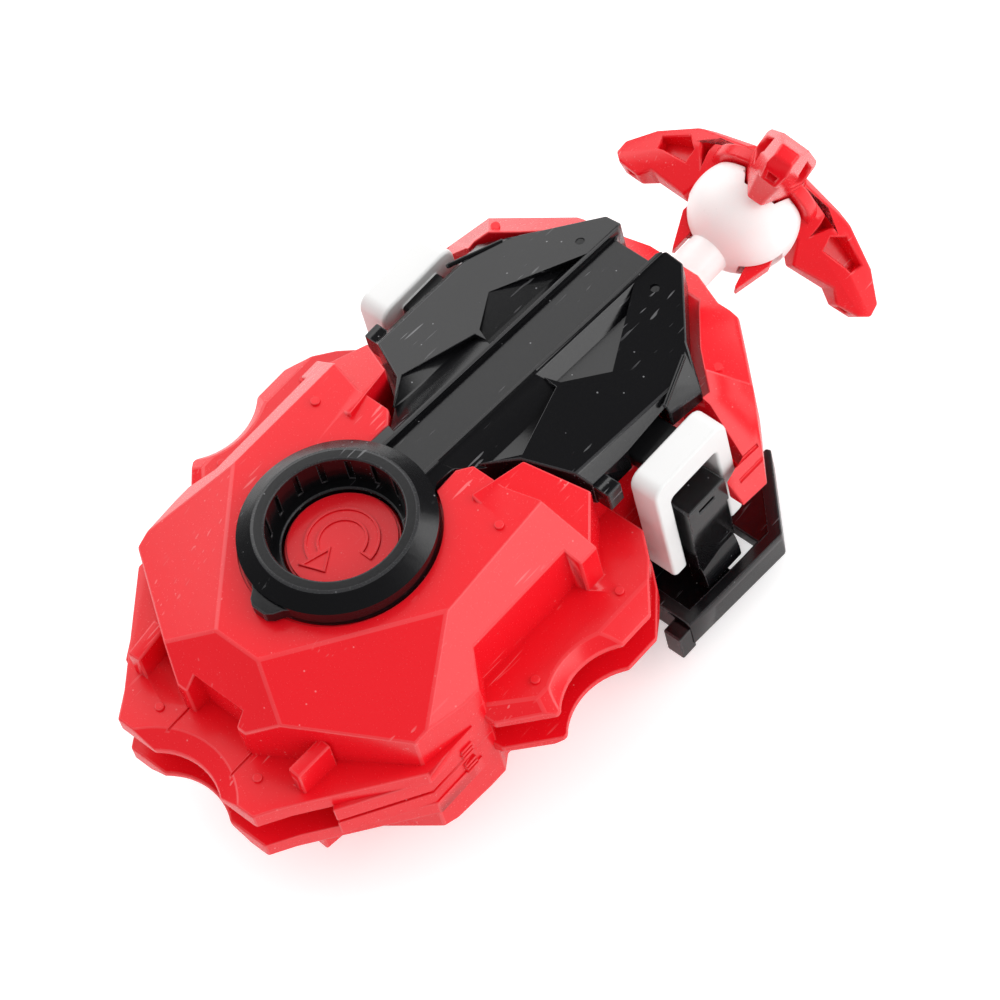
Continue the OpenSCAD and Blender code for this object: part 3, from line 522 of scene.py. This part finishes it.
def bare_metal(name, colour, rough):
    """A metal with turning marks: roughness follows fine noise on Object coordinates."""
    material = bpy.data.materials.new(name)
    material.use_nodes = True
    tree = material.node_tree
    shader = tree.nodes["Principled BSDF"]
    shader.inputs["Base Color"].default_value = colour
    shader.inputs["Metallic"].default_value = 1
    place = tree.nodes.new("ShaderNodeTexCoord")
    grain = tree.nodes.new("ShaderNodeTexNoise")
    grain.inputs["Scale"].default_value = 1800
    tree.links.new(place.outputs["Object"], grain.inputs["Vector"])
    gloss = tree.nodes.new("ShaderNodeMapRange")
    gloss.inputs["To Min"].default_value = rough * 0.7
    gloss.inputs["To Max"].default_value = rough * 1.3
    tree.links.new(grain.outputs["Fac"], gloss.inputs["Value"])
    tree.links.new(gloss.outputs["Result"], shader.inputs["Roughness"])
    return material


plain_steel = bare_metal("plain_steel", (0.55, 0.55, 0.57, 1), 0.32)
turned_brass = bare_metal("turned_brass", (0.70, 0.50, 0.20, 1), 0.3)
wear("clutch_hub", turned_brass)
for name in ("casing_screws", "plate_screws", "clutch_pawls", "spool_axle", "axle_washers",
             "return_spring"):
    wear(name, plain_steel)

# Button springs: steel wire coils between the casing and the tongues of the white buttons.
# They are carried by the casing.
spring_turns = 5
spring_wire = 0.0006
spring_stations = 24
spring_sides = 10


def closed_tube(name, rings):
    """A closed tube from an array of rings: quads join neighbouring rings and the ends are capped."""
    count, sides = rings.shape[:2]
    start = np.arange(count - 1)[:, None] * sides
    here = np.arange(sides)[None, :]
    after = (here + 1) % sides
    quads = np.stack([start + here, start + sides + here, start + sides + after, start + after], -1)
    faces = quads.reshape(-1, 4).tolist()
    faces.append(list(range(sides)))
    faces.append(list(range(count * sides - 1, (count - 1) * sides - 1, -1)))
    mesh = bpy.data.meshes.new(name)
    mesh.from_pydata(rings.reshape(-1, 3).tolist(), [], faces)
    mesh.polygons.foreach_set("use_smooth", np.ones(len(mesh.polygons), bool))
    tube = bpy.data.objects.new(name, mesh)
    scene.collection.objects.link(tube)
    return tube


def wound_spring(name, low, high):
    """A round wire wound along X between two corners of a box.

    At winding angle a and wire angle k the radius is coil + wire/2 cos k, in the direction
    (cos a, sin a) of Y and Z, and X grows evenly with a and adds wire/2 sin k."""
    share = np.linspace(0, 1, spring_turns * spring_stations + 1)[:, None]
    around = np.arange(spring_sides)[None, :] * 2 * np.pi / spring_sides
    middle = (low + high) / 2
    coil = (high.y - low.y) / 2 - spring_wire / 2
    radius = coil + spring_wire / 2 * np.cos(around) + 0 * share
    winding = 2 * np.pi * spring_turns * share
    along = low.x + spring_wire / 2 + (high.x - low.x - spring_wire) * share
    return closed_tube(name, np.stack([along + spring_wire / 2 * np.sin(around),
                                       middle.y + radius * np.cos(winding),
                                       middle.z + radius * np.sin(winding)], -1))


for side in ("right", "left"):
    spring_low, spring_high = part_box("button_spring_" + side)
    button_coil = wound_spring("button_coil_" + side, spring_low, spring_high)
    button_coil.data.materials.append(plain_steel)
    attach(button_coil, "casing")
    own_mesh(button_coil)
    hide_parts("button_spring_" + side)

# Pull string: a braided white cord from the spool through the guide to the knot in the handle's ball.
# The stretch between casing and handle follows both, so it runs out with the handle.
string_radius = 0.0008
string_gap = 0.0001
guide_lead = 0.0014
string_hold = 0.004
string_colour = (0.72, 0.72, 0.69, 1)
string_flow = (0.80, 0.80, 0.77, 1)
cord_material = moulded_plastic("braided_cord", string_colour, string_flow, white_scratch,
                                0.6, 0.8, 0.0, 0.0, 0.6)
for name in ("string_winding", "string_knot"):
    wear(name, cord_material)


def swept_string(name, path, radius, sides=12):
    """A round cord: ring point k of station i is path[i] + radius (cos k across + sin k up)."""
    along = np.gradient(path, axis=0)
    along /= np.linalg.norm(along, axis=1)[:, None]
    across = np.cross(along, (0.0, 0.0, 1.0))
    across /= np.linalg.norm(across, axis=1)[:, None]
    up = np.cross(across, along)
    turn = (np.arange(sides) * 2 * np.pi / sides)[None, :, None]
    return closed_tube(name, path[:, None, :] + radius * (np.cos(turn) * across[:, None, :]
                                                          + np.sin(turn) * up[:, None, :]))


lead_low, lead_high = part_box("string_lead")
spool_low, spool_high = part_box("string_winding")
string_height = (lead_low.z + lead_high.z) / 2
spool_middle = (spool_low + spool_high) / 2
lay_radius = (spool_high.x - spool_low.x) / 2 + string_radius + string_gap
bend_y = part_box("string_guide")[0].y - guide_lead
lean = math.asin(lay_radius / (bend_y - spool_middle.y))
leave = np.array([lay_radius * math.cos(lean), spool_middle.y + lay_radius * math.sin(lean),
                  string_height])
bend = np.array([0, bend_y, string_height])
knot_end = np.array([0, lead_high.y, string_height])
to_guide = leave + (bend - leave) * np.linspace(0, 1, 24)[:, None]
to_knot = bend + (knot_end - bend) * np.linspace(0, 1, 70)[1:, None]
pull_string = swept_string("pull_string", np.vstack([to_guide, to_knot]), string_radius)
pull_string.data.materials.append(cord_material)
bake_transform(pull_string, "casing", "handle",
         start=tuple(bend + (0, string_hold, 0)), end=tuple(knot_end - (0, string_hold, 0)))
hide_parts("string_lead")
